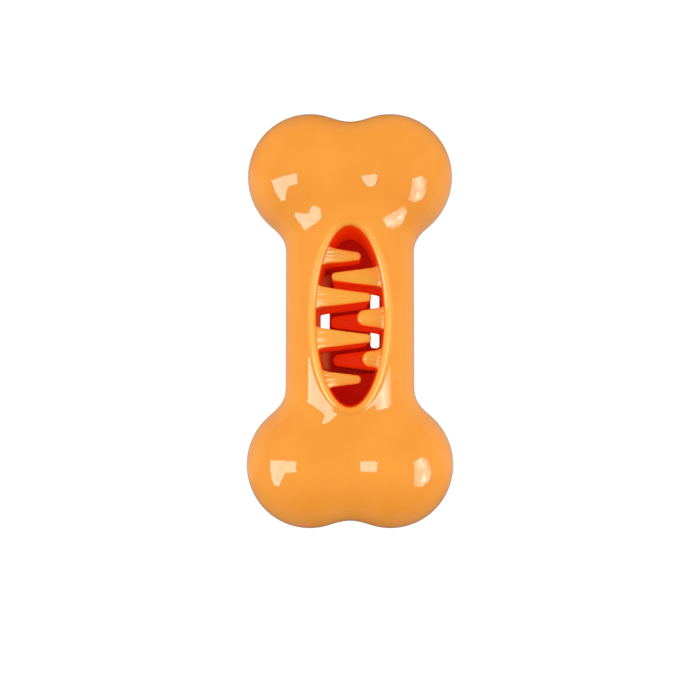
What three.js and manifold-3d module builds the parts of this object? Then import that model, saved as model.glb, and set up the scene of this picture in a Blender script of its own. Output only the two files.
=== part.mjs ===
import * as THREE from 'three';
import { mergeVertices } from 'three/addons/utils/BufferGeometryUtils.js';
import createSolidKernel from 'manifold-3d';

// Bone-shaped dog toy lying on its back, with its long mouth facing +Z.
// Millimetres. X runs across the bone and Y along it.
// Heights below are measured from the parting plane, half way up the lobes.

// Outside form
const BODY_LENGTH = 133;
const BODY_WIDTH = 66.2;
const LOBE_RADIUS = 20.3;
const SHAFT_HALF_WIDTH = 20.7;
const SHAFT_HALF_DEPTH = 18.6;
const LOBE_X = BODY_WIDTH / 2 - LOBE_RADIUS;
const LOBE_Y = BODY_LENGTH / 2 - LOBE_RADIUS;
const SHAFT_CAP_START = 16;
const SHAFT_CAP = 14;
const SHAFT_STRAIGHT = LOBE_Y - SHAFT_CAP_START;
const NOTCH_BLEND = 7;
const NECK_BLEND = 5.2;
const FOOT_FLAT_DEPTH = 0.4;
const PARTING_HEIGHT = LOBE_RADIUS - FOOT_FLAT_DEPTH;

// Shell halves and the tongue that joins them
const WALL = 2.6;
const FIT_GAP = 0.3;
const TONGUE_RISE = 1.4;
const PEG_RADIUS = 3;
const PEG_RISE = 4;
const SOCKET_WALL = 1.8;

// Mouth, sleeve and window plate
const MOUTH_HALF_WIDTH = 10.5;
const MOUTH_HALF_LENGTH = 27.6;
const LIP_WIDTH = 2.4;
const LIP_RISE = 0.7;
const SLEEVE_WALL = 2;
const PLATE_TOP = -7.7;
const PLATE_RIM_WALL = 1.5;
const PLATE_RIM_RISE = 2.5;
const POCKET_DEPTH = 4.8;
const POCKET_HALF_WIDTH = MOUTH_HALF_WIDTH - FIT_GAP;
const POCKET_HALF_LENGTH = 17.2;
const POCKET_CORNER = 4;
const PANEL_WALL = 1.1;
const PANEL_HALF_WIDTH = POCKET_HALF_WIDTH + PANEL_WALL;
const PANEL_HALF_LENGTH = POCKET_HALF_LENGTH + PANEL_WALL;
const PANEL_CORNER = POCKET_CORNER + PANEL_WALL;
const PANEL_RECESS = 0.8;
const SLOT_INNER_X = 6.9;
const SLOT_LEDGE = 0.2;
const SLOT_OUTER_X = POCKET_HALF_WIDTH - SLOT_LEDGE;
const SLOT_HALF_LENGTH = 9.4;
const SLOT_MIDDLE_Y = 0.9;
const SLOT_CORNER = 1.1;

// Flexible prongs: seven rows, taken in turn from the left and the right wall
const ROW_PITCH = 6.4;
const PRONG_SLOPE = 0.127;
const FRONT_TOP = 11.9;
const FRONT_DEPTH = 11;
const FRONT_TIP_RADIUS = 1.35;
const STUB_TIP_RADIUS = 2.6;
const FRONT_AXIS_BELOW_TOP = 4;
const FLEX_IN = THREE.MathUtils.degToRad(14);
const FLEX_OUT = THREE.MathUtils.degToRad(6);
const BACK_DROP = 0.4;
const BACK_DEPTH = 4;
const BACK_TIP_RADIUS = 2;

// The X that each prong's tip reaches to
const END_TIP = 3.4;
const LONG_TIP = 6.6;
const UPPER_RIGHT_TIP = -5.8;
const MIDDLE_STUB_TIP = 2.1;
const LOWER_STUB_TIP = 3.7;
const BACK_LEFT_TIP = 6;
const BACK_RIGHT_TIP = -5.6;
const BACK_MIDDLE_TIP = -6.4;

// Row 3 is nearest +Y.
const FRONT_PRONGS = [
  { name: 'front_prong_left_1', row: 3, side: -1, tip: END_TIP, radius: FRONT_TIP_RADIUS },
  { name: 'front_prong_right_1', row: 2, side: 1, tip: UPPER_RIGHT_TIP, radius: FRONT_TIP_RADIUS },
  { name: 'front_prong_left_2', row: 1, side: -1, tip: LONG_TIP, radius: FRONT_TIP_RADIUS },
  { name: 'front_prong_right_2', row: 0, side: 1, tip: MIDDLE_STUB_TIP, radius: STUB_TIP_RADIUS },
  { name: 'front_prong_left_3', row: -1, side: -1, tip: LONG_TIP, radius: FRONT_TIP_RADIUS },
  { name: 'front_prong_right_3', row: -2, side: 1, tip: LOWER_STUB_TIP, radius: STUB_TIP_RADIUS },
  { name: 'front_prong_left_4', row: -3, side: -1, tip: END_TIP, radius: FRONT_TIP_RADIUS },
];
const BACK_PRONGS = [
  { name: 'back_prong_right_1', row: 2, side: 1, tip: BACK_RIGHT_TIP },
  { name: 'back_prong_left_1', row: 1, side: -1, tip: BACK_LEFT_TIP },
  { name: 'back_prong_right_2', row: 0, side: 1, tip: BACK_MIDDLE_TIP },
  { name: 'back_prong_left_2', row: -1, side: -1, tip: BACK_LEFT_TIP },
  { name: 'back_prong_right_3', row: -2, side: 1, tip: BACK_RIGHT_TIP },
];

// Facets of the bone surface, closer together at its sides than at its front and
// back, and the reach of cutting blocks past the object
const OUTER_GRID = { columns: 40, rows: 26, fan: 11 };
const INNER_GRID = { columns: 24, rows: 16, fan: 5 };
const SIDE_CLOSENESS = 0.35;
const OVAL_SEGMENTS = 56;
const POST_SEGMENTS = 24;
const ARC_SEGMENTS = 8;
const SEARCH_STEPS = 40;
const MERGE_DISTANCE = 1e-4;
const OVERLAP = 1;
const REACH = 100;

const kernel = await createSolidKernel();
kernel.setup();

function smoothMinimum(first, second, blend) {
  const overlap = Math.max(blend - Math.abs(first - second), 0) / blend;
  return Math.min(first, second) - (overlap * overlap * blend) / 4;
}

function lobeDistance(x, y, z, centreX, centreY) {
  return Math.hypot(x - centreX, y - centreY, z) - LOBE_RADIUS;
}

function shaftDistance(x, y, z) {
  const past = Math.max(Math.abs(y) - SHAFT_STRAIGHT, 0);
  const across = x / SHAFT_HALF_WIDTH;
  const along = past / SHAFT_CAP;
  const deep = z / SHAFT_HALF_DEPTH;
  const ratio = Math.hypot(across, along, deep);
  const slope = Math.hypot(across / SHAFT_HALF_WIDTH, along / SHAFT_CAP, deep / SHAFT_HALF_DEPTH);
  return slope === 0 ? -SHAFT_HALF_DEPTH : (ratio * (ratio - 1)) / slope;
}

function boneDistance(x, y, z) {
  const end = y < 0 ? -LOBE_Y : LOBE_Y;
  const left = lobeDistance(x, y, z, -LOBE_X, end);
  const right = lobeDistance(x, y, z, LOBE_X, end);
  const knob = smoothMinimum(left, right, NOTCH_BLEND);
  return smoothMinimum(knob, shaftDistance(x, y, z), NECK_BLEND);
}

// Distance from a point on the long axis to the bone surface, or to the
// surface lying the stated depth inside it, or outside where that is negative.
function reachToSurface(startY, direction, depth) {
  let near = 0;
  let far = BODY_WIDTH;
  for (let step = 0; step < SEARCH_STEPS; step += 1) {
    const middle = (near + far) / 2;
    const x = direction.x * middle;
    const y = startY + direction.y * middle;
    const z = direction.z * middle;
    if (boneDistance(x, y, z) < -depth) {
      near = middle;
    } else {
      far = middle;
    }
  }
  return near;
}

function surfacePoint(startY, turn, lean, depth) {
  const direction = new THREE.Vector3(
    Math.cos(turn) * Math.cos(lean),
    Math.sin(lean),
    Math.sin(turn) * Math.cos(lean),
  );
  const reach = reachToSurface(startY, direction, depth);
  return direction.multiplyScalar(reach).add(new THREE.Vector3(0, startY, 0));
}

// Rings of rays: a fan about each knob's middle, and square to the axis between.
function ringStarts(grid) {
  const rings = [];
  for (let step = 1; step < grid.fan; step += 1) {
    rings.push({ y: -LOBE_Y, lean: -(Math.PI / 2) * (1 - step / grid.fan) });
  }
  for (let step = 0; step <= grid.rows; step += 1) {
    rings.push({ y: LOBE_Y * ((2 * step) / grid.rows - 1), lean: 0 });
  }
  for (let step = 1; step < grid.fan; step += 1) {
    rings.push({ y: LOBE_Y, lean: (Math.PI / 2) * (step / grid.fan) });
  }
  return rings;
}

function boneGeometry(depth, grid) {
  const rings = ringStarts(grid);
  const points = [surfacePoint(-LOBE_Y, 0, -Math.PI / 2, depth)];
  for (const ring of rings) {
    for (let column = 0; column < grid.columns; column += 1) {
      const even = (2 * Math.PI * column) / grid.columns;
      const turn = even - (SIDE_CLOSENESS / 2) * Math.sin(2 * even);
      points.push(surfacePoint(ring.y, turn, ring.lean, depth));
    }
  }
  points.push(surfacePoint(LOBE_Y, 0, Math.PI / 2, depth));

  const at = (ring, column) => 1 + ring * grid.columns + (column % grid.columns);
  const lastRing = rings.length - 1;
  const lastPoint = points.length - 1;
  const faces = [];
  for (let column = 0; column < grid.columns; column += 1) {
    faces.push(0, at(0, column), at(0, column + 1));
    for (let ring = 0; ring < lastRing; ring += 1) {
      faces.push(at(ring, column), at(ring + 1, column), at(ring + 1, column + 1));
      faces.push(at(ring, column), at(ring + 1, column + 1), at(ring, column + 1));
    }
    faces.push(at(lastRing, column + 1), at(lastRing, column), lastPoint);
  }
  const geometry = new THREE.BufferGeometry().setFromPoints(points);
  geometry.setIndex(faces);
  return geometry;
}

function toSolid(geometry) {
  const bare = geometry.index ? geometry.toNonIndexed() : geometry.clone();
  bare.deleteAttribute('normal');
  bare.deleteAttribute('uv');
  const joined = mergeVertices(bare, MERGE_DISTANCE);
  const mesh = new kernel.Mesh({
    numProp: 3,
    vertProperties: new Float32Array(joined.attributes.position.array),
    triVerts: new Uint32Array(joined.index.array),
  });
  return new kernel.Manifold(mesh);
}

function toGeometry(solid) {
  const mesh = solid.getMesh();
  const geometry = new THREE.BufferGeometry();
  geometry.setAttribute('position', new THREE.BufferAttribute(mesh.vertProperties, 3));
  geometry.setIndex(new THREE.BufferAttribute(mesh.triVerts, 1));
  geometry.computeVertexNormals();
  return geometry;
}

function boneSolid(depth, grid, shiftZ = 0) {
  return toSolid(boneGeometry(depth, grid).translate(0, 0, shiftZ));
}

function blockBetween(lowZ, highZ) {
  const block = new THREE.BoxGeometry(2 * REACH, 2 * REACH, highZ - lowZ);
  return toSolid(block.translate(0, 0, (lowZ + highZ) / 2));
}

function ovalPrism(halfWidth, halfLength, lowZ, highZ) {
  const prism = new THREE.CylinderGeometry(1, 1, highZ - lowZ, OVAL_SEGMENTS);
  prism.rotateX(Math.PI / 2);
  prism.scale(halfWidth, halfLength, 1);
  return toSolid(prism.translate(0, 0, (lowZ + highZ) / 2));
}

function roundPost(x, y, radius, lowZ, highZ) {
  const post = new THREE.CylinderGeometry(radius, radius, highZ - lowZ, POST_SEGMENTS);
  post.rotateX(Math.PI / 2);
  return toSolid(post.translate(x, y, (lowZ + highZ) / 2));
}

function raise(shape, lowZ, highZ) {
  const settings = { depth: highZ - lowZ, bevelEnabled: false, curveSegments: ARC_SEGMENTS };
  return toSolid(new THREE.ExtrudeGeometry(shape, settings).translate(0, 0, lowZ));
}

function roundedPrism(lowX, highX, halfLength, corner, lowZ, highZ) {
  const shape = new THREE.Shape();
  shape.moveTo(highX, halfLength - corner);
  shape.absarc(highX - corner, halfLength - corner, corner, 0, Math.PI / 2);
  shape.absarc(lowX + corner, halfLength - corner, corner, Math.PI / 2, Math.PI);
  shape.absarc(lowX + corner, corner - halfLength, corner, Math.PI, 1.5 * Math.PI);
  shape.absarc(highX - corner, corner - halfLength, corner, 1.5 * Math.PI, 2 * Math.PI);
  return raise(shape, lowZ, highZ);
}

// A finger that widens from its round tip back past the wall it grows from.
function fingerPrism({ row, side, tip, radius }, lowZ, highZ) {
  const root = side * (MOUTH_HALF_WIDTH + SLEEVE_WALL);
  const tipMiddle = tip + side * radius;
  const rootHalf = radius + PRONG_SLOPE * Math.abs(root - tipMiddle);
  const middleY = row * ROW_PITCH;
  const arcStart = (side * Math.PI) / 2;
  const shape = new THREE.Shape();
  shape.moveTo(root, middleY + side * rootHalf);
  shape.lineTo(tipMiddle, middleY + side * radius);
  shape.absarc(tipMiddle, middleY, radius, arcStart, arcStart + Math.PI);
  shape.lineTo(root, middleY - side * rootHalf);
  return raise(shape, lowZ, highZ);
}

// The room that the front prongs' roots have inside the sleeve: full at the
// height of their flexing line, and less above and below it so that they can tilt.
function frontRootEnvelope() {
  const low = FRONT_TOP - FRONT_DEPTH - OVERLAP;
  const high = FRONT_TOP + OVERLAP;
  const axis = FRONT_TOP - FRONT_AXIS_BELOW_TOP;
  const atAxis = MOUTH_HALF_WIDTH - FIT_GAP;
  const atTop = atAxis - (high - axis) * Math.tan(FLEX_OUT);
  const atLow = atAxis - (axis - low) * Math.tan(FLEX_IN);
  const profile = [
    new THREE.Vector2(0, low),
    new THREE.Vector2(atLow, low),
    new THREE.Vector2(atAxis, axis),
    new THREE.Vector2(atTop, high),
    new THREE.Vector2(0, high),
  ];
  const envelope = new THREE.LatheGeometry(profile, OVAL_SEGMENTS);
  envelope.rotateX(Math.PI / 2);
  envelope.scale(1, MOUTH_HALF_LENGTH / MOUTH_HALF_WIDTH, 1);
  return toSolid(envelope);
}

function lobeCentres() {
  const centres = [];
  for (const x of [-LOBE_X, LOBE_X]) {
    for (const y of [-LOBE_Y, LOBE_Y]) {
      centres.push({ x, y });
    }
  }
  return centres;
}

const bone = new THREE.Group();
bone.name = 'bone_dog_toy';

function addPiece(name, solid, colour, roughness) {
  const material = new THREE.MeshStandardMaterial({ color: colour, roughness, metalness: 0 });
  const mesh = new THREE.Mesh(toGeometry(solid), material);
  mesh.name = name;
  mesh.position.z = PARTING_HEIGHT;
  bone.add(mesh);
}

const ORANGE = '#fca541';
const RED = '#d51f05';
const GLOSSY = 0.22;
const SOFT_GLOSS = 0.35;

const outer = boneSolid(0, OUTER_GRID);
const hollow = boneSolid(WALL, INNER_GRID);
const hull = outer.subtract(hollow);

// Front shell: mouth with its raised lip, groove for the tongue, and four sockets
const halfGap = FIT_GAP / 2;
const postReach = LOBE_RADIUS - WALL / 2;
const grooveBody = boneSolid((WALL - FIT_GAP) / 2, INNER_GRID);
const grooveSlab = blockBetween(-REACH, TONGUE_RISE + halfGap);
const lip = ovalPrism(MOUTH_HALF_WIDTH + LIP_WIDTH, MOUTH_HALF_LENGTH + LIP_WIDTH, 0, REACH)
  .intersect(boneSolid(-LIP_RISE, OUTER_GRID))
  .subtract(hollow);
let frontShell = hull.add(lip).intersect(blockBetween(halfGap, REACH));
frontShell = frontShell.subtract(grooveBody.intersect(grooveSlab));
frontShell = frontShell.subtract(ovalPrism(MOUTH_HALF_WIDTH, MOUTH_HALF_LENGTH, 0, REACH));
for (const { x, y } of lobeCentres()) {
  const socketRadius = PEG_RADIUS + FIT_GAP + SOCKET_WALL;
  const socket = roundPost(x, y, socketRadius, halfGap, postReach);
  const bore = roundPost(x, y, PEG_RADIUS + FIT_GAP, -OVERLAP, PEG_RISE + FIT_GAP);
  frontShell = frontShell.add(socket).subtract(bore);
}
addPiece('front_shell', frontShell, ORANGE, GLOSSY);

// Back shell: tongue, four pegs, window for the plate's panel, and flats to rest on
const tongueBody = boneSolid((WALL + FIT_GAP) / 2, INNER_GRID).subtract(hollow);
const tongue = tongueBody.intersect(blockBetween(-TONGUE_RISE, TONGUE_RISE - halfGap));
let backShell = hull.intersect(blockBetween(-REACH, -halfGap)).add(tongue);
for (const { x, y } of lobeCentres()) {
  backShell = backShell.add(roundPost(x, y, PEG_RADIUS, -postReach, PEG_RISE));
}
const panelWidth = PANEL_HALF_WIDTH + FIT_GAP;
const panelLength = PANEL_HALF_LENGTH + FIT_GAP;
const panelCorner = PANEL_CORNER + FIT_GAP;
backShell = backShell.subtract(
  roundedPrism(-panelWidth, panelWidth, panelLength, panelCorner, -REACH, PLATE_TOP),
);
backShell = backShell.subtract(blockBetween(-REACH, -PARTING_HEIGHT));
addPiece('back_shell', backShell, ORANGE, GLOSSY);

// Sleeve lining the mouth, trimmed under the front shell
const sleeveWidth = MOUTH_HALF_WIDTH + SLEEVE_WALL;
const sleeveLength = MOUTH_HALF_LENGTH + SLEEVE_WALL;
const sleeve = ovalPrism(sleeveWidth, sleeveLength, PLATE_TOP + FIT_GAP, SHAFT_HALF_DEPTH)
  .subtract(ovalPrism(MOUTH_HALF_WIDTH, MOUTH_HALF_LENGTH, -REACH, REACH))
  .intersect(boneSolid(WALL, INNER_GRID, -FIT_GAP));
addPiece('mouth_sleeve', sleeve, RED, SOFT_GLOSS);

// Window plate: seat and rim round the sleeve, panel filling the back window,
// pocket for the back prongs and two slots right through
const rimWidth = sleeveWidth + FIT_GAP + PLATE_RIM_WALL;
const rimLength = sleeveLength + FIT_GAP + PLATE_RIM_WALL;
const pocketFloor = PLATE_TOP - POCKET_DEPTH;
const seat = ovalPrism(sleeveWidth + FIT_GAP, sleeveLength + FIT_GAP, PLATE_TOP, REACH);
const disc = ovalPrism(rimWidth, rimLength, -REACH, PLATE_TOP + PLATE_RIM_RISE)
  .subtract(seat)
  .intersect(boneSolid(WALL, INNER_GRID, FIT_GAP));
const panel = roundedPrism(
  -PANEL_HALF_WIDTH, PANEL_HALF_WIDTH, PANEL_HALF_LENGTH, PANEL_CORNER, -REACH, PLATE_TOP - OVERLAP,
).intersect(boneSolid(0, OUTER_GRID, PANEL_RECESS));
let windowPlate = disc.add(panel).subtract(roundedPrism(
  -POCKET_HALF_WIDTH, POCKET_HALF_WIDTH, POCKET_HALF_LENGTH, POCKET_CORNER, pocketFloor, REACH,
));
for (const side of [-1, 1]) {
  const edges = [side * SLOT_INNER_X, side * SLOT_OUTER_X];
  const slot = roundedPrism(
    Math.min(...edges), Math.max(...edges), SLOT_HALF_LENGTH, SLOT_CORNER, -REACH, REACH,
  );
  windowPlate = windowPlate.subtract(slot.translate([0, SLOT_MIDDLE_Y, 0]));
}
addPiece('window_plate', windowPlate, RED, SOFT_GLOSS);

// Prongs
const frontRoom = frontRootEnvelope();
for (const prong of FRONT_PRONGS) {
  const finger = fingerPrism(prong, FRONT_TOP - FRONT_DEPTH, FRONT_TOP);
  addPiece(prong.name, finger.intersect(frontRoom), ORANGE, SOFT_GLOSS);
}
const backTop = PLATE_TOP - BACK_DROP;
const backRoom = roundedPrism(
  FIT_GAP - POCKET_HALF_WIDTH, POCKET_HALF_WIDTH - FIT_GAP, POCKET_HALF_LENGTH - FIT_GAP,
  POCKET_CORNER - FIT_GAP, pocketFloor, PLATE_TOP,
);
for (const prong of BACK_PRONGS) {
  const finger = fingerPrism({ ...prong, radius: BACK_TIP_RADIUS }, backTop - BACK_DEPTH, backTop);
  addPiece(prong.name, finger.intersect(backRoom), RED, SOFT_GLOSS);
}

export default bone;
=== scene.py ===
import math

import bmesh
import bpy
import numpy as np
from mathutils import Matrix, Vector


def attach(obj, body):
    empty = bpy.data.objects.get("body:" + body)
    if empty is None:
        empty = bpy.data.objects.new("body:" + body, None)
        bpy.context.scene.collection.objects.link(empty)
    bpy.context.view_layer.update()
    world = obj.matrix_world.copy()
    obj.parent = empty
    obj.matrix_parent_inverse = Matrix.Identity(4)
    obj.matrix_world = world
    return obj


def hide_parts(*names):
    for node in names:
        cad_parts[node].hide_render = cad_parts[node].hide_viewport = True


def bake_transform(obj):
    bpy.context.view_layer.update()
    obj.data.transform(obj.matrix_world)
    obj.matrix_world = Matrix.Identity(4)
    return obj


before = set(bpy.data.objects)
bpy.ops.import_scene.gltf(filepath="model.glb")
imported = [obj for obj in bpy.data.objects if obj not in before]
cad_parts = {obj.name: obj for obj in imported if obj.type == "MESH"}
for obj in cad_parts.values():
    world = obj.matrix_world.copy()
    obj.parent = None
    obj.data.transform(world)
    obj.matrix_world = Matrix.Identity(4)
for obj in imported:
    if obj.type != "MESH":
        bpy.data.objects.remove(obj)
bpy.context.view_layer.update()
bpy.ops.object.select_all(action="DESELECT")

# Sizes are in millimetres, with heights from the parting plane of the two shells.
MM = 0.001
PARTING_HEIGHT = 19.9

# Outside form of the bone
LOBE_RADIUS = 20.3
LOBE_X = 12.8
LOBE_Y = 46.2
SHAFT_HALF_WIDTH = 20.7
SHAFT_HALF_DEPTH = 18.6
SHAFT_STRAIGHT = 30.2
SHAFT_CAP = 14
NOTCH_BLEND = 7
NECK_BLEND = 5.2

# Shells
WALL = 2.6
SEAM_HALF_GAP = 0.05
SEAM_ROUND = 0.3
SEAM_TURNS = (0, 30, 60, 90)
TONGUE_RISE = 1.25
TONGUE_PLAY = 0.15
LIP_ROUND = 1.15
LIP_RISE = 0.7
LIP_LEAN = 30
LIP_FOOT = 2.7
WINDOW_ROUND = 0.5

# Mouth, back window and plate
MOUTH_HALF_WIDTH = 10.5
MOUTH_HALF_LENGTH = 27.6
SLEEVE_WALL = 2
SLEEVE_SEAT = 0.05
PLATE_TOP = -7.7
WINDOW_HALF_WIDTH = 11.6
WINDOW_HALF_LENGTH = 18.6
WINDOW_CORNER = 5.4
POCKET_HALF_WIDTH = 10.2
PLATE_EDGE_ROUND = 0.3
PLATE_EDGE_STEPS = 3
PLATE_SHARP_ANGLE = 40
PLATE_FLAT_ANGLE = 1
PLATE_CLOSENESS = 0.001

# Prongs
ROW_PITCH = 6.4
PRONG_SLOPE = 0.127
PRONG_EDGE_ROUND = 0.7
STUB_EDGE_ROUND = 1.4
EDGE_ROUND_LIMIT = 0.9
PRONG_CROWN = 0.15
PRONG_EMBED = 0.8
ROOT_FLARE_LENGTH = 1.5
ROOT_FLARE = 0.5
FRONT_LOW = 0.9
FRONT_TOP = 11.9
FRONT_TIP_RADIUS = 1.35
STUB_TIP_RADIUS = 2.6
BACK_LOW = -12.1
BACK_TOP = -8.1
BACK_TIP_RADIUS = 2

# Rise and length of the ramp from a prong's top up to the wall
LEFT_RAMP = (2.6, 10)
RIGHT_RAMP = (0.4, 2)
NO_RAMP = (0, 1)

# Columns round each shell, and how finely curves are followed
COLUMNS = 256
QUARTER = COLUMNS // 4
CURVE_SAMPLES = 800
OUTER_RINGS = 36
INNER_RINGS = 10
EDGE_RINGS = 9
SLEEVE_RINGS = 10
SEARCH_STEPS = 48
EDGE_CROWDING = 1.8
HOLE_LEAD = 3
SLOPE_STEP = 0.001
LEAST_SLOPE = 1e-9

# How finely a prong is drawn: degrees round its tip, and steps along its body, root, corners and sides
TIP_TURNS = (9, 20, 32, 45, 58, 74)
LEAST_BODY_STEPS = 3
ROOT_STEPS = 5
CORNER_STEPS = 4
SIDE_STEPS = 6

# Angle in degrees past which an edge is shaded sharp
SHELL_CREASE = 35
PLATE_CREASE = 30
PRONG_CREASE = 60

# Distance below which points count as one
CLOSENESS = 0.0001


def smooth_minimum(first, second, blend):
    overlap = np.maximum(blend - np.abs(first - second), 0) / blend
    return np.minimum(first, second) - overlap * overlap * blend / 4


def bone_distance(x, y, z):
    """How far points lie outside the bone's surface, or inside it where negative."""
    end = np.where(y < 0, -LOBE_Y, LOBE_Y)
    left = np.sqrt((x + LOBE_X) ** 2 + (y - end) ** 2 + z**2) - LOBE_RADIUS
    right = np.sqrt((x - LOBE_X) ** 2 + (y - end) ** 2 + z**2) - LOBE_RADIUS
    knob = smooth_minimum(left, right, NOTCH_BLEND)
    across = x / SHAFT_HALF_WIDTH
    along = np.maximum(np.abs(y) - SHAFT_STRAIGHT, 0) / SHAFT_CAP
    deep = z / SHAFT_HALF_DEPTH
    ratio = np.sqrt(across**2 + along**2 + deep**2)
    slope_x = across / SHAFT_HALF_WIDTH
    slope_y = along / SHAFT_CAP
    slope_z = deep / SHAFT_HALF_DEPTH
    slope = np.sqrt(slope_x**2 + slope_y**2 + slope_z**2)
    shaft = ratio * (ratio - 1) / np.maximum(slope, LEAST_SLOPE)
    return smooth_minimum(knob, shaft, NECK_BLEND)


def bone_normal(x, y, z):
    gradient = np.stack(
        [
            bone_distance(x + SLOPE_STEP, y, z) - bone_distance(x - SLOPE_STEP, y, z),
            bone_distance(x, y + SLOPE_STEP, z) - bone_distance(x, y - SLOPE_STEP, z),
            bone_distance(x, y, z + SLOPE_STEP) - bone_distance(x, y, z - SLOPE_STEP),
        ],
        axis=1,
    )
    return gradient / np.linalg.norm(gradient, axis=1, keepdims=True)


def search(inside, near, far):
    """Halves the spans from near to far until they close on where the test stops holding."""
    for _ in range(SEARCH_STEPS):
        middle = (near + far) / 2
        held = inside(middle)
        near = np.where(held, middle, near)
        far = np.where(held, far, middle)
    return near


def height_above(plan, depth):
    """Height over each plan point of the surface lying that deep inside the bone."""
    start = np.zeros(len(plan))

    def inside(height):
        return bone_distance(plan[:, 0], plan[:, 1], height) < -depth

    return search(inside, start, start + LOBE_RADIUS + 1)


def resample(points, count, lead):
    """Points along a line, evenly spaced, or closer together towards its end where the lead is over 1."""
    lengths = np.linalg.norm(np.diff(points, axis=0), axis=1)
    travelled = np.concatenate([[0], np.cumsum(lengths)])
    share = 1 - (1 - np.linspace(0, 1, count + 1)) ** lead
    wanted = share * travelled[-1]
    return np.stack([np.interp(wanted, travelled, points[:, axis]) for axis in range(2)], axis=1)


def whole_ring(quarter_line, lead):
    """A ring of columns from its quarter, which runs from the right side to the +Y end."""
    quarter = resample(quarter_line, QUARTER, lead)
    flipped = quarter[::-1]
    return np.concatenate(
        [
            quarter[:-1] * (1, 1),
            flipped[:-1] * (-1, 1),
            quarter[:-1] * (-1, -1),
            flipped[:-1] * (1, -1),
        ]
    )


def quarter_turn():
    return np.linspace(0, math.pi / 2, CURVE_SAMPLES)


def oval_ring(half_width, half_length):
    turn = quarter_turn()
    quarter = np.stack([half_width * np.cos(turn), half_length * np.sin(turn)], axis=1)
    return whole_ring(quarter, HOLE_LEAD)


def rounded_ring(half_width, half_length, corner):
    turn = quarter_turn()
    across = half_width - corner + corner * np.cos(turn)
    along = half_length - corner + corner * np.sin(turn)
    bend = np.stack([across, along], axis=1)
    quarter = np.concatenate([[(half_width, 0)], bend, [(0, half_length)]])
    return whole_ring(quarter, HOLE_LEAD)


def outline_ring():
    """The bone's outline in the parting plane: level rays along the shaft, then a fan round the knob."""
    rows = np.linspace(0, LOBE_Y, CURVE_SAMPLES)
    lean = np.linspace(0, math.pi / 2, CURVE_SAMPLES)
    start_y = np.concatenate([rows, np.full(CURVE_SAMPLES - 1, LOBE_Y)])
    angle = np.concatenate([np.zeros(CURVE_SAMPLES), lean[1:]])

    def inside(reach):
        return bone_distance(reach * np.cos(angle), start_y + reach * np.sin(angle), 0) < 0

    start = np.zeros(len(angle))
    reach = search(inside, start, start + 3 * LOBE_RADIUS)
    return whole_ring(np.stack([reach * np.cos(angle), start_y + reach * np.sin(angle)], axis=1), 1)


def outward(ring):
    along = np.roll(ring, -1, axis=0) - np.roll(ring, 1, axis=0)
    across = np.stack([along[:, 1], -along[:, 0]], axis=1)
    return across / np.linalg.norm(across, axis=1, keepdims=True)


OUTLINE = outline_ring()
OUTLINE_OUTWARD = outward(OUTLINE)
MOUTH = oval_ring(MOUTH_HALF_WIDTH, MOUTH_HALF_LENGTH)
SLEEVE_OUTSIDE = oval_ring(MOUTH_HALF_WIDTH + SLEEVE_WALL, MOUTH_HALF_LENGTH + SLEEVE_WALL)
WINDOW = rounded_ring(WINDOW_HALF_WIDTH, WINDOW_HALF_LENGTH, WINDOW_CORNER)


def at_height(plan, height):
    return np.concatenate([plan, np.reshape(height + np.zeros(len(plan)), (-1, 1))], axis=1)


def contour(depth, height):
    """The ring that lies that deep inside the bone at one height near the parting plane."""

    def outside(inset):
        plan = OUTLINE - OUTLINE_OUTWARD * inset[:, None]
        return bone_distance(plan[:, 0], plan[:, 1], height) > -depth

    start = np.zeros(COLUMNS)
    inset = search(outside, start, start + 2 * WALL)
    return at_height(OUTLINE - OUTLINE_OUTWARD * inset[:, None], height)


def rolled_edge(hole, radius, rise, lean):
    """Rings of a round edge, from the wall of a hole up over a crest, and on until it leans outwards."""
    away = outward(hole)
    middle = hole + away * radius
    middle_height = height_above(middle, radius - rise)
    normal = bone_normal(middle[:, 0], middle[:, 1], middle_height)
    tilt = np.sum(normal[:, :2] * away, axis=1)
    full_turn = np.arctan2(normal[:, 2], -tilt) + math.radians(lean)
    rings = []
    for step in range(EDGE_RINGS + 1):
        turn = full_turn * step / EDGE_RINGS
        plan = middle - away * (radius * np.cos(turn))[:, None]
        rings.append(at_height(plan, middle_height + radius * np.sin(turn)))
    return rings


def lip_edge(hole):
    """Rings of the mouth's raised lip: its round crest, then its outer side down to the bone's surface."""
    crest = rolled_edge(hole, LIP_ROUND, LIP_RISE, LIP_LEAN)
    foot_plan = hole + outward(hole) * LIP_FOOT
    foot = at_height(foot_plan, height_above(foot_plan, 0))
    return crest + [(crest[-1] + foot) / 2, foot]


def surface_rings(start_plan, end_plan, depth, count, crowding):
    """Rings over the front surface, or one inside it, closer together towards the end plan."""
    rings = []
    for step in range(1, count):
        share = 1 - (1 - step / count) ** crowding
        plan = start_plan + (end_plan - start_plan) * share
        rings.append(at_height(plan, height_above(plan, depth)))
    return rings


def seam_edge():
    """The small round from a shell's outside to its parting face."""
    rings = []
    for turn in SEAM_TURNS:
        angle = math.radians(turn)
        depth = SEAM_ROUND * (1 - math.cos(angle))
        height = SEAM_HALF_GAP + SEAM_ROUND * (1 - math.sin(angle))
        rings.append(contour(depth, height))
    return rings


def shell_rings(hole, edge, joint_profile):
    """One shell as rings that run out from its hole, over the seam and back along the inside."""
    seam = seam_edge()
    joint = [contour(depth, height) for depth, height in joint_profile]
    hem = at_height(hole, height_above(hole, WALL))
    rings = [hem]
    rings += edge
    rings += surface_rings(edge[-1][:, :2], seam[0][:, :2], 0, OUTER_RINGS, EDGE_CROWDING)
    rings += seam
    rings += joint
    inner = surface_rings(hole, joint[-1][:, :2], WALL, INNER_RINGS, EDGE_CROWDING)
    rings += inner[::-1]
    rings.append(hem)
    return rings


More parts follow.
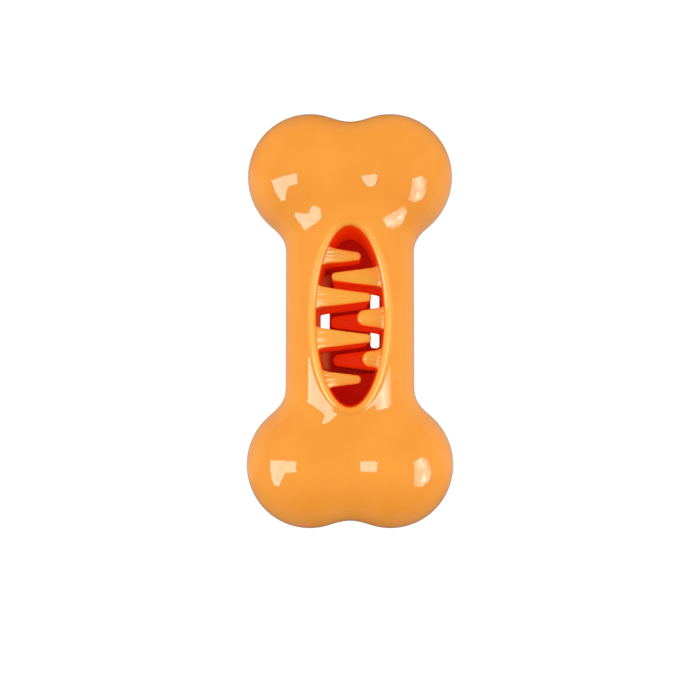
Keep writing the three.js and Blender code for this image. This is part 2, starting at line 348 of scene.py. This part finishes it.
def name_new_piece(name):
    piece = bpy.context.object
    piece.name = name
    piece.data.name = name
    return piece


def place(points):
    return [Vector((x * MM, y * MM, (z + PARTING_HEIGHT) * MM)) for x, y, z in points]


def loft(name, rings, capped):
    """Draws a circle on the first ring and extrudes it through the others."""
    count = len(rings[0])
    bpy.ops.object.select_all(action="DESELECT")
    bpy.ops.mesh.primitive_circle_add(vertices=count, radius=LOBE_RADIUS * MM)
    piece = name_new_piece(name)
    bpy.ops.object.mode_set(mode="EDIT")
    bpy.ops.mesh.select_mode(type="EDGE")
    bpy.ops.mesh.select_all(action="SELECT")
    net = bmesh.from_edit_mesh(piece.data)
    net.verts.ensure_lookup_table()
    order = list(range(count))
    for index, point in zip(order, place(rings[0])):
        net.verts[index].co = point
    if capped:
        bpy.ops.mesh.edge_face_add()
    for ring in rings[1:]:
        bpy.ops.mesh.extrude_edges_indiv()
        net = bmesh.from_edit_mesh(piece.data)
        net.verts.ensure_lookup_table()
        net.verts.index_update()
        following = []
        for index in order:
            vertex = net.verts[index]
            new = [e.other_vert(vertex) for e in vertex.link_edges if e.other_vert(vertex).select]
            following.append(new[0].index)
        order = following
        for index, point in zip(order, place(ring)):
            net.verts[index].co = point
    if capped:
        bpy.ops.mesh.edge_face_add()
    bmesh.update_edit_mesh(piece.data)
    bpy.ops.mesh.select_all(action="SELECT")
    bpy.ops.mesh.remove_doubles(threshold=CLOSENESS * MM)
    bpy.ops.mesh.normals_make_consistent(inside=False)
    bpy.ops.object.mode_set(mode="OBJECT")
    return piece


def apply_subdivision(piece):
    modifier = piece.modifiers.new("Smooth form", "SUBSURF")
    modifier.levels = 1
    modifier.render_levels = 1
    bpy.ops.object.modifier_apply(modifier=modifier.name)


def shade(piece, degrees):
    bpy.ops.object.select_all(action="DESELECT")
    piece.select_set(True)
    bpy.context.view_layer.objects.active = piece
    bpy.ops.object.shade_smooth_by_angle(angle=math.radians(degrees))


# Materials

def add_node(tree, kind, settings=None, inputs=None):
    node = tree.nodes.new(kind)
    for name, value in (settings or {}).items():
        setattr(node, name, value)
    for name, value in (inputs or {}).items():
        node.inputs[name].default_value = value
    return node


def feed(tree, socket, value):
    """Links an output to a socket, or gives the socket a plain value."""
    if isinstance(value, bpy.types.NodeSocket):
        tree.links.new(value, socket)
    else:
        socket.default_value = value


def calculate(tree, operation, first, second=0):
    """One operation on two values, each of them an output or a plain number."""
    node = add_node(tree, "ShaderNodeMath", {"operation": operation})
    feed(tree, node.inputs[0], first)
    feed(tree, node.inputs[1], second)
    return node.outputs["Value"]


def product(tree, first, second):
    return calculate(tree, "MULTIPLY", first, second)


def object_place(tree):
    return add_node(tree, "ShaderNodeTexCoord").outputs["Object"]


def split_axes(tree, where):
    node = add_node(tree, "ShaderNodeSeparateXYZ")
    tree.links.new(where, node.inputs["Vector"])
    return node.outputs["X"], node.outputs["Y"], node.outputs["Z"]


def noise(tree, where, scale, detail):
    node = add_node(tree, "ShaderNodeTexNoise", inputs={"Scale": scale, "Detail": detail})
    tree.links.new(where, node.inputs["Vector"])
    return node.outputs["Fac"]


def spread(tree, value, low, high):
    """Turns a noise, most of which lies from 0.3 to 0.7, into values from low to high."""
    node = add_node(
        tree,
        "ShaderNodeMapRange",
        inputs={"From Min": 0.3, "From Max": 0.7, "To Min": low, "To Max": high},
    )
    tree.links.new(value, node.inputs["Value"])
    return node.outputs["Result"]


def blend_over(tree, value, start, end, low, high):
    """Goes smoothly from low, where the value is at its start, to high, where it is at its end."""
    node = add_node(
        tree,
        "ShaderNodeMapRange",
        {"interpolation_type": "SMOOTHSTEP"},
        {"From Min": start, "From Max": end, "To Min": low, "To Max": high},
    )
    tree.links.new(value, node.inputs["Value"])
    return node.outputs["Result"]


def mix_colours(tree, share, first, second):
    node = add_node(tree, "ShaderNodeMix", {"data_type": "RGBA"})
    tree.links.new(share, node.inputs["Factor"])
    feed(tree, node.inputs["A"], first)
    feed(tree, node.inputs["B"], second)
    return node.outputs["Result"]


def mottle(tree, where, scale, dark, light):
    return mix_colours(tree, spread(tree, noise(tree, where, scale, detail=4), 0, 1), dark, light)


def drawn_out(tree, where, scale):
    """Coordinates scaled by axis, which turns a noise into streaks along the axis with the least scale."""
    node = add_node(tree, "ShaderNodeMapping", inputs={"Scale": scale})
    tree.links.new(where, node.inputs["Vector"])
    return node.outputs["Vector"]


def vary_roughness(tree, shader, where, scale, detail, low, high):
    patches = noise(tree, where, scale, detail)
    tree.links.new(spread(tree, patches, low, high), shader.inputs["Roughness"])


def ripple(tree, shader, where, wide_scale, fine_scale, wide_depth, fine_depth):
    """Moulded skin: a slow waviness with a finer grain on it, and depths in millimetres."""
    wide = add_node(tree, "ShaderNodeBump", inputs={"Strength": 1, "Distance": wide_depth * MM})
    fine = add_node(tree, "ShaderNodeBump", inputs={"Strength": 1, "Distance": fine_depth * MM})
    tree.links.new(noise(tree, where, wide_scale, detail=1), wide.inputs["Height"])
    tree.links.new(noise(tree, where, fine_scale, detail=3), fine.inputs["Height"])
    tree.links.new(wide.outputs["Normal"], fine.inputs["Normal"])
    tree.links.new(fine.outputs["Normal"], shader.inputs["Normal"])


def read_mark(tree, name):
    return add_node(tree, "ShaderNodeAttribute", {"attribute_name": name}).outputs["Fac"]


def start_material(name):
    material = bpy.data.materials.new(name)
    material.use_nodes = True
    tree = material.node_tree
    return material, tree, tree.nodes["Principled BSDF"], object_place(tree)


# Colours, each with the darker and the lighter end of its mottling
ORANGE_DEEP = (0.90, 0.320, 0.038, 1)
ORANGE_LIGHT = (0.95, 0.352, 0.046, 1)
# Prong faces: the shell's orange painted lighter, painted light that makes up for the shade deep in the
# mouth
PAINTED_LIGHT_FACE_DEEP = (0.94, 0.385, 0.040, 1)
PAINTED_LIGHT_FACE_PALE = (0.98, 0.420, 0.048, 1)
# Lip sides: a paler orange, painted light for light getting into the thin edge
PAINTED_LIGHT_LIP_DEEP = (0.95, 0.470, 0.072, 1)
PAINTED_LIGHT_LIP_PALE = (0.98, 0.520, 0.088, 1)
RED_DEEP = (0.93, 0.066, 0.0005, 1)
RED_LIGHT = (0.98, 0.084, 0.001, 1)
# Plate: a darker red than the liner's, painted shade for the floor deep in the mouth
PAINTED_SHADE_FLOOR_DEEP = (0.62, 0.034, 0.0003, 1)
PAINTED_SHADE_FLOOR_PALE = (0.70, 0.046, 0.0005, 1)
# Strip: a pale orange, painted light on the plate
PAINTED_LIGHT_STRIP_DEEP = (0.90, 0.620, 0.200, 1)
PAINTED_LIGHT_STRIP_PALE = (0.95, 0.680, 0.240, 1)
SHELL_MOTTLE = 70
FACE_MOTTLE = 90
RED_MOTTLE = 110

# Strength of the surface's mirror on each plastic
SHELL_GLOSS = 0.5
FACE_GLOSS = 0.55
FLANK_GLOSS = 0.1
LINER_GLOSS = 0.15
FLOOR_GLOSS = 0.08

# Painted glow: an emission that stands in for light coming through the thin red plastic
PAINTED_RED_GLOW = 0.13
NO_GLOW = (0, 0, 0, 1)

# Distance from the mouth's edge where the lip's painted light is strongest and where the shell's own
# colour begins
LIP_PAINTED_LIGHT_PEAK = 1.3
LIP_PAINTED_LIGHT_END = 2.7
LIP_PAINTED_LIGHT_INNER_SHARE = 0.2
LIP_PAINTED_LIGHT_SIDES_POWER = 4

# Strip of painted light, a pale orange, on the floor along the foot of the left wall, with heights from
# the object's origin
STRIP_FULL_X = -8.4
STRIP_END_X = -6
STRIP_FULL_Y = 15
STRIP_END_Y = 17
STRIP_LOW_Z = 4
STRIP_FULL_Z = 5

# Depth below a prong's top where its orange face turns to red flanks, which are painted shade on the
# orange prong's sides
FACE_END = 0.45
FLANK_START = 1.1

# Scale by axis of the flow lines, which run along X and up the ramps
FLOW_SCALE = (0.1, 1, 0.1)


def shell_plastic(name):
    material, tree, shader, where = start_material(name)
    shader.inputs["Specular IOR Level"].default_value = SHELL_GLOSS
    vary_roughness(tree, shader, where, scale=420, detail=5, low=0.03, high=0.08)
    ripple(tree, shader, where, wide_scale=160, fine_scale=1500, wide_depth=0.02, fine_depth=0.001)
    colour = mottle(tree, where, SHELL_MOTTLE, ORANGE_DEEP, ORANGE_LIGHT)
    return material, tree, shader, where, colour


def plain_shell_plastic():
    material, tree, shader, _, colour = shell_plastic("orange_gloss_plastic")
    tree.links.new(colour, shader.inputs["Base Color"])
    return material


def shell_plastic_with_painted_lip_light():
    """The shell's plastic, with painted light along the sides of the mouth's lip: a paler orange that
    stands in for light getting into the edge.
    """
    material, tree, shader, where, colour = shell_plastic("orange_plastic_painted_lip_light")
    distance = read_mark(tree, "distance_from_mouth")
    rising = blend_over(tree, distance, 0, LIP_PAINTED_LIGHT_PEAK, LIP_PAINTED_LIGHT_INNER_SHARE, 1)
    falling = blend_over(tree, distance, LIP_PAINTED_LIGHT_PEAK, LIP_PAINTED_LIGHT_END, 1, 0)
    # Painted light on the lip, strongest at its left and right sides
    lip = product(tree, product(tree, rising, falling), read_mark(tree, "facing_sideways"))
    painted_lip_light = mottle(tree, where, SHELL_MOTTLE, PAINTED_LIGHT_LIP_DEEP, PAINTED_LIGHT_LIP_PALE)
    tree.links.new(mix_colours(tree, lip, colour, painted_lip_light), shader.inputs["Base Color"])
    return material


def satin(tree, shader, where):
    vary_roughness(tree, shader, where, scale=500, detail=4, low=0.28, high=0.42)
    ripple(tree, shader, where, wide_scale=240, fine_scale=1800, wide_depth=0.015, fine_depth=0.003)


def liner_plastic():
    material, tree, shader, where = start_material("red_liner_plastic")
    shader.inputs["Specular IOR Level"].default_value = LINER_GLOSS
    colour = mottle(tree, where, RED_MOTTLE, RED_DEEP, RED_LIGHT)
    tree.links.new(colour, shader.inputs["Base Color"])
    # Painted glow: the liner's red is also given off as light
    tree.links.new(colour, shader.inputs["Emission Color"])
    shader.inputs["Emission Strength"].default_value = PAINTED_RED_GLOW
    satin(tree, shader, where)
    return material


def painted_plate_plastic():
    """A darker red than the liner's, painted shade for the floor deep in the mouth, with a strip of
    painted light in pale orange along the foot of the left wall.
    """
    material, tree, shader, where = start_material("plate_plastic_painted_shade_and_light")
    shader.inputs["Specular IOR Level"].default_value = FLOOR_GLOSS
    x, y, z = split_axes(tree, where)
    from_middle = calculate(tree, "ABSOLUTE", y)
    # Painted light: a pale orange strip along the foot of the left wall
    across = blend_over(tree, x, STRIP_FULL_X * MM, STRIP_END_X * MM, 1, 0)
    along = blend_over(tree, from_middle, STRIP_FULL_Y * MM, STRIP_END_Y * MM, 1, 0)
    up = blend_over(tree, z, STRIP_LOW_Z * MM, STRIP_FULL_Z * MM, 0, 1)
    strip = product(tree, product(tree, across, along), up)
    # Painted shade: the plate's red is darker than the liner's
    red = mottle(tree, where, RED_MOTTLE, PAINTED_SHADE_FLOOR_DEEP, PAINTED_SHADE_FLOOR_PALE)
    orange = mottle(tree, where, RED_MOTTLE, PAINTED_LIGHT_STRIP_DEEP, PAINTED_LIGHT_STRIP_PALE)
    tree.links.new(mix_colours(tree, strip, red, orange), shader.inputs["Base Color"])
    satin(tree, shader, where)
    return material


def front_prong_plastic():
    """Orange on the prong's face, painted lighter as painted light, and red on its flanks as painted shade
    with a painted glow, with flow lines that run along the prong.
    """
    material, tree, shader, where = start_material("prong_plastic_painted_light_and_shade")
    depth = read_mark(tree, "depth_below_top")
    # Painted shade: below its face the orange prong is painted red
    turn = blend_over(tree, depth, FACE_END, FLANK_START, 0, 1)
    # Painted light: the prong's face is a lighter orange than the shell's
    face = mottle(tree, where, FACE_MOTTLE, PAINTED_LIGHT_FACE_DEEP, PAINTED_LIGHT_FACE_PALE)
    painted_shade_flank = mottle(tree, where, RED_MOTTLE, RED_DEEP, RED_LIGHT)
    tree.links.new(mix_colours(tree, turn, face, painted_shade_flank), shader.inputs["Base Color"])
    # Painted glow on the red flanks
    tree.links.new(mix_colours(tree, turn, NO_GLOW, painted_shade_flank), shader.inputs["Emission Color"])
    shader.inputs["Emission Strength"].default_value = PAINTED_RED_GLOW
    gloss = blend_over(tree, depth, FACE_END, FLANK_START, FACE_GLOSS, FLANK_GLOSS)
    tree.links.new(gloss, shader.inputs["Specular IOR Level"])
    vary_roughness(tree, shader, where, scale=600, detail=4, low=0.14, high=0.24)
    flow = drawn_out(tree, where, FLOW_SCALE)
    ripple(tree, shader, flow, wide_scale=1000, fine_scale=1800, wide_depth=0.3, fine_depth=0.003)
    return material


SHELL_PLASTIC = plain_shell_plastic()
SHELL_PAINTED_LIP_LIGHT_PLASTIC = shell_plastic_with_painted_lip_light()
RED_PLASTIC = liner_plastic()
PAINTED_PLATE_PLASTIC = painted_plate_plastic()
PRONG_PLASTIC = front_prong_plastic()


def mark_points(piece, name, measure):
    """Stores a measure of every point's place, in millimetres from the object's origin, on the mesh."""
    attribute = piece.data.attributes.new(name, "FLOAT", "POINT")
    for vertex, mark in zip(piece.data.vertices, attribute.data):
        mark.value = measure(*(vertex.co / MM))


def mouth_slope(x, y):
    return math.hypot(x / MOUTH_HALF_WIDTH**2, y / MOUTH_HALF_LENGTH**2)


def distance_from_mouth(x, y, z):
    ratio = math.hypot(x / MOUTH_HALF_WIDTH, y / MOUTH_HALF_LENGTH)
    return ratio * (ratio - 1) / mouth_slope(x, y)


def facing_sideways(x, y, z):
    """1 at the mouth's left and right sides, and 0 at its two ends."""
    return (x / MOUTH_HALF_WIDTH**2 / mouth_slope(x, y)) ** LIP_PAINTED_LIGHT_SIDES_POWER


def dress(piece, material, slot, *nodes):
    piece.data.materials.clear()
    piece.data.materials.append(material)
    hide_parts(*nodes)


# Shells

def turn_over(rings):
    return [ring * (1, 1, -1) for ring in rings]


def make_front_shell():
    groove_depth = WALL / 2 - TONGUE_PLAY
    groove_height = TONGUE_RISE + 2 * TONGUE_PLAY
    profile = [(groove_depth, SEAM_HALF_GAP), (groove_depth, groove_height), (WALL, groove_height)]
    shell = loft("front_shell_form", shell_rings(MOUTH, lip_edge(MOUTH), profile), False)
    apply_subdivision(shell)
    mark_points(shell, "distance_from_mouth", distance_from_mouth)
    mark_points(shell, "facing_sideways", facing_sideways)
    shade(shell, SHELL_CREASE)
    dress(shell, SHELL_PAINTED_LIP_LIGHT_PLASTIC, "orange_shell", "front_shell")
    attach(shell, "body")


def make_back_shell():
    """The back half, cut level underneath so that each lobe has a small flat to rest on."""
    tongue_depth = WALL / 2 + TONGUE_PLAY
    profile = [(tongue_depth, SEAM_HALF_GAP), (tongue_depth, -TONGUE_RISE), (WALL, -TONGUE_RISE)]
    edge = rolled_edge(WINDOW, WINDOW_ROUND, 0, 0)
    shell = loft("back_shell_form", turn_over(shell_rings(WINDOW, edge, profile)), False)
    apply_subdivision(shell)
    bpy.ops.object.mode_set(mode="EDIT")
    bpy.ops.mesh.select_all(action="SELECT")
    bpy.ops.mesh.bisect(
        plane_co=(0, 0, 0), plane_no=(0, 0, 1), use_fill=True, clear_inner=True, threshold=CLOSENESS * MM
    )
    bpy.ops.object.mode_set(mode="OBJECT")
    shade(shell, SHELL_CREASE)
    dress(shell, SHELL_PLASTIC, "orange_shell", "back_shell")
    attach(shell, "body")


# Liner and plate

def make_sleeve():
    """The red liner, drawn down the inside of the mouth's wall and back up its outside."""
    top_inside = height_above(MOUTH, WALL) - SLEEVE_SEAT
    top_outside = height_above(SLEEVE_OUTSIDE, WALL) - SLEEVE_SEAT
    shares = [step / SLEEVE_RINGS for step in range(SLEEVE_RINGS + 1)]
    rings = []
    for share in shares:
        rings.append(at_height(MOUTH, top_inside + (PLATE_TOP - top_inside) * share))
    for share in shares:
        rings.append(at_height(SLEEVE_OUTSIDE, PLATE_TOP + (top_outside - PLATE_TOP) * share))
    rings.append(rings[0])
    sleeve = loft("mouth_sleeve_form", rings, False)
    shade(sleeve, SHELL_CREASE)
    dress(sleeve, RED_PLASTIC, "red_liner", "mouth_sleeve")
    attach(sleeve, "body")


def make_plate():
    """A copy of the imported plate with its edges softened."""
    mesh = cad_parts["window_plate"].data.copy()
    plate = bpy.data.objects.new("window_plate_form", mesh)
    bpy.context.scene.collection.objects.link(plate)
    bpy.ops.object.select_all(action="DESELECT")
    plate.select_set(True)
    bpy.context.view_layer.objects.active = plate
    bpy.ops.object.mode_set(mode="EDIT")
    bpy.ops.mesh.select_all(action="SELECT")
    bpy.ops.mesh.remove_doubles(threshold=PLATE_CLOSENESS * MM)
    bpy.ops.mesh.dissolve_limited(angle_limit=math.radians(PLATE_FLAT_ANGLE))
    bpy.ops.object.mode_set(mode="OBJECT")
    modifier = plate.modifiers.new("Soft edges", "BEVEL")
    modifier.width = PLATE_EDGE_ROUND * MM
    modifier.segments = PLATE_EDGE_STEPS
    modifier.limit_method = "ANGLE"
    modifier.angle_limit = math.radians(PLATE_SHARP_ANGLE)
    bpy.ops.object.modifier_apply(modifier=modifier.name)
    shade(plate, PLATE_CREASE)
    dress(plate, PAINTED_PLATE_PLASTIC, "red_liner", "window_plate")
    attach(plate, "body")


# Prongs

def mouth_wall(y):
    return MOUTH_HALF_WIDTH * math.sqrt(1 - (y / MOUTH_HALF_LENGTH) ** 2)


def pocket_wall(y):
    return POCKET_HALF_WIDTH


def prong_section(half_width, low, high, corner):
    """A rounded rectangle as points across and up, with the top's middle a little crowned."""
    corner = min(corner, EDGE_ROUND_LIMIT * half_width)
    centres = [
        (half_width - corner, high - corner),
        (corner - half_width, high - corner),
        (corner - half_width, low + corner),
        (half_width - corner, low + corner),
    ]
    arcs = []
    for quarter, (across, up) in enumerate(centres):
        arc = []
        for step in range(CORNER_STEPS + 1):
            turn = math.radians(90 * quarter + 90 * step / CORNER_STEPS)
            arc.append((across + corner * math.cos(turn), up + corner * math.sin(turn)))
        arcs.append(arc)
    points = []
    for quarter, arc in enumerate(arcs):
        points += arc
        across, up = arc[-1]
        next_across, next_up = arcs[(quarter + 1) % len(arcs)][0]
        for step in range(1, SIDE_STEPS):
            share = step / SIDE_STEPS
            crown = PRONG_CROWN * 4 * share * (1 - share) if quarter == 0 else 0
            points.append((across + (next_across - across) * share, up + (next_up - up) * share + crown))
    return points


def eased(distance, length):
    """Goes from 1 at the wall to 0 at a length away from it."""
    share = max(0, 1 - distance / length)
    return share * share


def prong_stations(length, radius):
    """Distances from the tip at which a prong's section is drawn, close together at its tip and root."""
    tip = [radius * (1 - math.cos(math.radians(turn))) for turn in TIP_TURNS]
    body_length = length - radius - ROOT_FLARE_LENGTH
    body_steps = max(LEAST_BODY_STEPS, round(body_length))
    body = [radius + body_length * step / body_steps for step in range(body_steps + 1)]
    root_start = length - ROOT_FLARE_LENGTH
    root = [root_start + ROOT_FLARE_LENGTH * step / ROOT_STEPS for step in range(1, ROOT_STEPS + 1)]
    return tip + body + root


def make_prong(name, row, side, tip, radius, low, top, ramp, wall, material, slot):
    """One prong, drawn section by section from its round tip to its root in the wall."""
    ramp_rise, ramp_length = ramp
    middle_y = row * ROW_PITCH
    edge_round = STUB_EDGE_ROUND if radius == STUB_TIP_RADIUS else PRONG_EDGE_ROUND
    wall_x = wall(middle_y)
    length = abs(side * (wall_x + PRONG_EMBED) - tip)
    rings = []
    for station in prong_stations(length, radius):
        if station < radius:
            half_width = math.sqrt(radius**2 - (radius - station) ** 2)
        else:
            half_width = radius + PRONG_SLOPE * (station - radius)
        to_tip = max(0, edge_round - station)
        nose = edge_round - math.sqrt(edge_round**2 - to_tip**2)
        to_wall = max(0, length - PRONG_EMBED - station)
        flare = ROOT_FLARE * eased(to_wall, ROOT_FLARE_LENGTH)
        rise = ramp_rise * eased(to_wall, ramp_length)
        section = prong_section(half_width + flare, low + nose - flare, top - nose + rise, edge_round)
        bend = (station / length) ** 2
        ring = []
        for across, up in section:
            y = middle_y + across
            shift = (wall(y) - wall_x) * bend
            ring.append((tip + side * (station + shift), y, up))
        rings.append(ring)
    prong = loft(name + "_form", rings, True)
    apply_subdivision(prong)
    mark_points(prong, "depth_below_top", lambda x, y, z: top + PARTING_HEIGHT - z)
    shade(prong, PRONG_CREASE)
    dress(prong, material, slot, name)
    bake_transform(prong)


# Row 3 is nearest +Y. Each prong has its row, side, the X of its tip and its tip radius.
FRONT_PRONGS = {
    "front_prong_left_1": (3, -1, 3.4, FRONT_TIP_RADIUS),
    "front_prong_right_1": (2, 1, -5.8, FRONT_TIP_RADIUS),
    "front_prong_left_2": (1, -1, 6.6, FRONT_TIP_RADIUS),
    "front_prong_right_2": (0, 1, 2.1, STUB_TIP_RADIUS),
    "front_prong_left_3": (-1, -1, 6.6, FRONT_TIP_RADIUS),
    "front_prong_right_3": (-2, 1, 3.7, STUB_TIP_RADIUS),
    "front_prong_left_4": (-3, -1, 3.4, FRONT_TIP_RADIUS),
}
BACK_PRONGS = {
    "back_prong_right_1": (2, 1, -5.6, BACK_TIP_RADIUS),
    "back_prong_left_1": (1, -1, 6, BACK_TIP_RADIUS),
    "back_prong_right_2": (0, 1, -6.4, BACK_TIP_RADIUS),
    "back_prong_left_2": (-1, -1, 6, BACK_TIP_RADIUS),
    "back_prong_right_3": (-2, 1, -5.6, BACK_TIP_RADIUS),
}


def make_prongs():
    for name, (row, side, tip, radius) in FRONT_PRONGS.items():
        ramp = LEFT_RAMP if side < 0 else RIGHT_RAMP
        make_prong(
            name, row, side, tip, radius, FRONT_LOW, FRONT_TOP, ramp,
            mouth_wall, PRONG_PLASTIC, "orange_prong",
        )
    for name, (row, side, tip, radius) in BACK_PRONGS.items():
        make_prong(
            name, row, side, tip, radius, BACK_LOW, BACK_TOP, NO_RAMP,
            pocket_wall, RED_PLASTIC, "red_prong",
        )


# Camera, table and lights

CAMERA_POINT = (0, -20, 280)
AIM_POINT = (0, -9.6, 0)
LENS = 44.6
SENSOR_WIDTH = 36

# The table looks white. In the gloss it is dim, more so past the bone's ends, and dark under it.
TABLE_SIZE = 6000
TABLE_DROP = 0.2
TABLE_MATTE = (0.12, 0.12, 0.12, 1)
TABLE_GLOW = 0.93
TABLE_GLOSS_BESIDE = 0.33
TABLE_GLOSS_BEYOND = 0.08
TABLE_BESIDE_Y = 48
TABLE_BEYOND_Y = 72
TABLE_SHADED_X = 13
TABLE_LIT_X = 19

# Light of the room from above, from both sides and from the far end, and its share in the gloss
TOP_LIGHT = 0.72
SIDE_LIGHT = 1.43
FAR_LIGHT = 0.15
GLOSS_SHARE = 0.2

# Softboxes, with corners as shares of the distance across and along
LEFT_DISTANCE = 420
LEFT_GLOW = 7.8
LEFT_CORNERS = [
    (-0.95, 0), (-0.45, 0.04), (-0.385, 0.02), (-0.38, -0.25),
    (-0.65, -0.28), (-0.71, -0.58), (-0.79, -0.55),
]
RIGHT_DISTANCE = 340
RIGHT_GLOW = 9.36
RIGHT_CORNERS = [
    (0.65, -0.04), (0.84, 0.085), (0.92, 0.03), (0.94, -0.2),
    (0.88, -0.42), (0.72, -0.6), (0.57, -0.6),
]

# Streaks of brighter and dimmer light on the softboxes, and their scale by axis
STREAK_SIZE = 45
STREAK_SCALE = (1, 0.15, 1)


def make_camera():
    data = bpy.data.cameras.new("photo_camera")
    camera = bpy.data.objects.new("photo_camera", data)
    bpy.context.scene.collection.objects.link(camera)
    data.sensor_width = SENSOR_WIDTH
    data.lens = LENS
    point, aim = place([CAMERA_POINT, AIM_POINT])
    camera.location = point
    camera.rotation_euler = (aim - point).to_track_quat("-Z", "Y").to_euler()
    bpy.context.scene.camera = camera


def by_ray(tree, kind, otherwise, for_kind):
    """One value for rays of a kind and another for all others."""
    path = add_node(tree, "ShaderNodeLightPath")
    node = add_node(tree, "ShaderNodeMix")
    tree.links.new(path.outputs[kind], node.inputs["Factor"])
    feed(tree, node.inputs["A"], otherwise)
    feed(tree, node.inputs["B"], for_kind)
    return node.outputs["Result"]


def glow_material(name):
    material = bpy.data.materials.new(name)
    material.use_nodes = True
    tree = material.node_tree
    tree.nodes.remove(tree.nodes["Principled BSDF"])
    glow = add_node(tree, "ShaderNodeEmission")
    tree.links.new(glow.outputs["Emission"], tree.nodes["Material Output"].inputs["Surface"])
    return material, tree, glow


def make_floor():
    bpy.ops.object.select_all(action="DESELECT")
    bpy.ops.mesh.primitive_plane_add(size=TABLE_SIZE * MM, location=(0, 0, -TABLE_DROP * MM))
    floor = name_new_piece("floor")
    material, tree, glow = glow_material("light_table")
    x, y, _ = split_axes(tree, object_place(tree))
    across = calculate(tree, "ABSOLUTE", x)
    along = calculate(tree, "ABSOLUTE", y)
    ends = blend_over(
        tree, along, TABLE_BESIDE_Y * MM, TABLE_BEYOND_Y * MM, TABLE_GLOSS_BESIDE, TABLE_GLOSS_BEYOND
    )
    sides = blend_over(tree, across, TABLE_SHADED_X * MM, TABLE_LIT_X * MM, 0, 1)
    in_gloss = product(tree, ends, sides)
    tree.links.new(by_ray(tree, "Is Glossy Ray", TABLE_GLOW, in_gloss), glow.inputs["Strength"])
    matte = add_node(tree, "ShaderNodeBsdfDiffuse", inputs={"Color": TABLE_MATTE})
    both = add_node(tree, "ShaderNodeAddShader")
    tree.links.new(glow.outputs["Emission"], both.inputs[0])
    tree.links.new(matte.outputs["BSDF"], both.inputs[1])
    tree.links.new(both.outputs["Shader"], tree.nodes["Material Output"].inputs["Surface"])
    floor.data.materials.append(material)
    floor.visible_diffuse = False


def make_softbox(name, distance, corners, strength, edge_share, streaks):
    """A glowing panel that shows only in the gloss, dimmer towards its sides and streaked along Y."""
    points = []
    for x, y in corners:
        z = math.sqrt(1 - x * x - y * y)
        points.append((x * distance, y * distance, z * distance))
    mesh = bpy.data.meshes.new(name)
    mesh.from_pydata(place(points), [], [tuple(range(len(corners)))])
    panel = bpy.data.objects.new(name, mesh)
    bpy.context.scene.collection.objects.link(panel)
    material, tree, glow = glow_material(name)
    where = object_place(tree)
    across, _, _ = split_axes(tree, where)
    low = min(x for x, y, z in points) * MM
    high = max(x for x, y, z in points) * MM
    middle = (low + high) / 2
    rising = blend_over(tree, across, low, middle, edge_share, 1)
    falling = blend_over(tree, across, middle, high, 1, edge_share)
    bands = noise(tree, drawn_out(tree, where, STREAK_SCALE), STREAK_SIZE, detail=2)
    bands = spread(tree, bands, strength * (1 - streaks), strength * (1 + streaks))
    tree.links.new(product(tree, bands, product(tree, rising, falling)), glow.inputs["Strength"])
    mesh.materials.append(material)
    panel.visible_camera = False
    panel.visible_diffuse = False
    panel.visible_shadow = False


def make_room():
    """A white room lit from both sides and above, and a little more from the far end."""
    world = bpy.data.worlds.new("studio")
    bpy.context.scene.world = world
    world.use_nodes = True
    tree = world.node_tree
    background = tree.nodes["Background"]
    background.inputs["Color"].default_value = (1, 1, 1, 1)
    x, y, z = split_axes(tree, add_node(tree, "ShaderNodeTexCoord").outputs["Generated"])
    from_top = product(tree, calculate(tree, "MAXIMUM", z, 0), TOP_LIGHT)
    from_sides = product(tree, calculate(tree, "ABSOLUTE", x), SIDE_LIGHT)
    from_far = product(tree, y, FAR_LIGHT)
    light = calculate(tree, "ADD", calculate(tree, "ADD", from_top, from_sides), from_far)
    light = calculate(tree, "MAXIMUM", light, 0)
    light = product(tree, light, by_ray(tree, "Is Glossy Ray", 1, GLOSS_SHARE))
    tree.links.new(by_ray(tree, "Is Camera Ray", light, 1), background.inputs["Strength"])


bpy.context.scene.view_settings.view_transform = "Standard"
make_camera()
make_front_shell()
make_back_shell()
make_sleeve()
make_plate()
make_prongs()
make_floor()
make_softbox("left_softbox", LEFT_DISTANCE, LEFT_CORNERS, LEFT_GLOW, edge_share=1, streaks=0.2)
make_softbox("right_softbox", RIGHT_DISTANCE, RIGHT_CORNERS, RIGHT_GLOW, edge_share=0.35, streaks=0.6)
make_room()
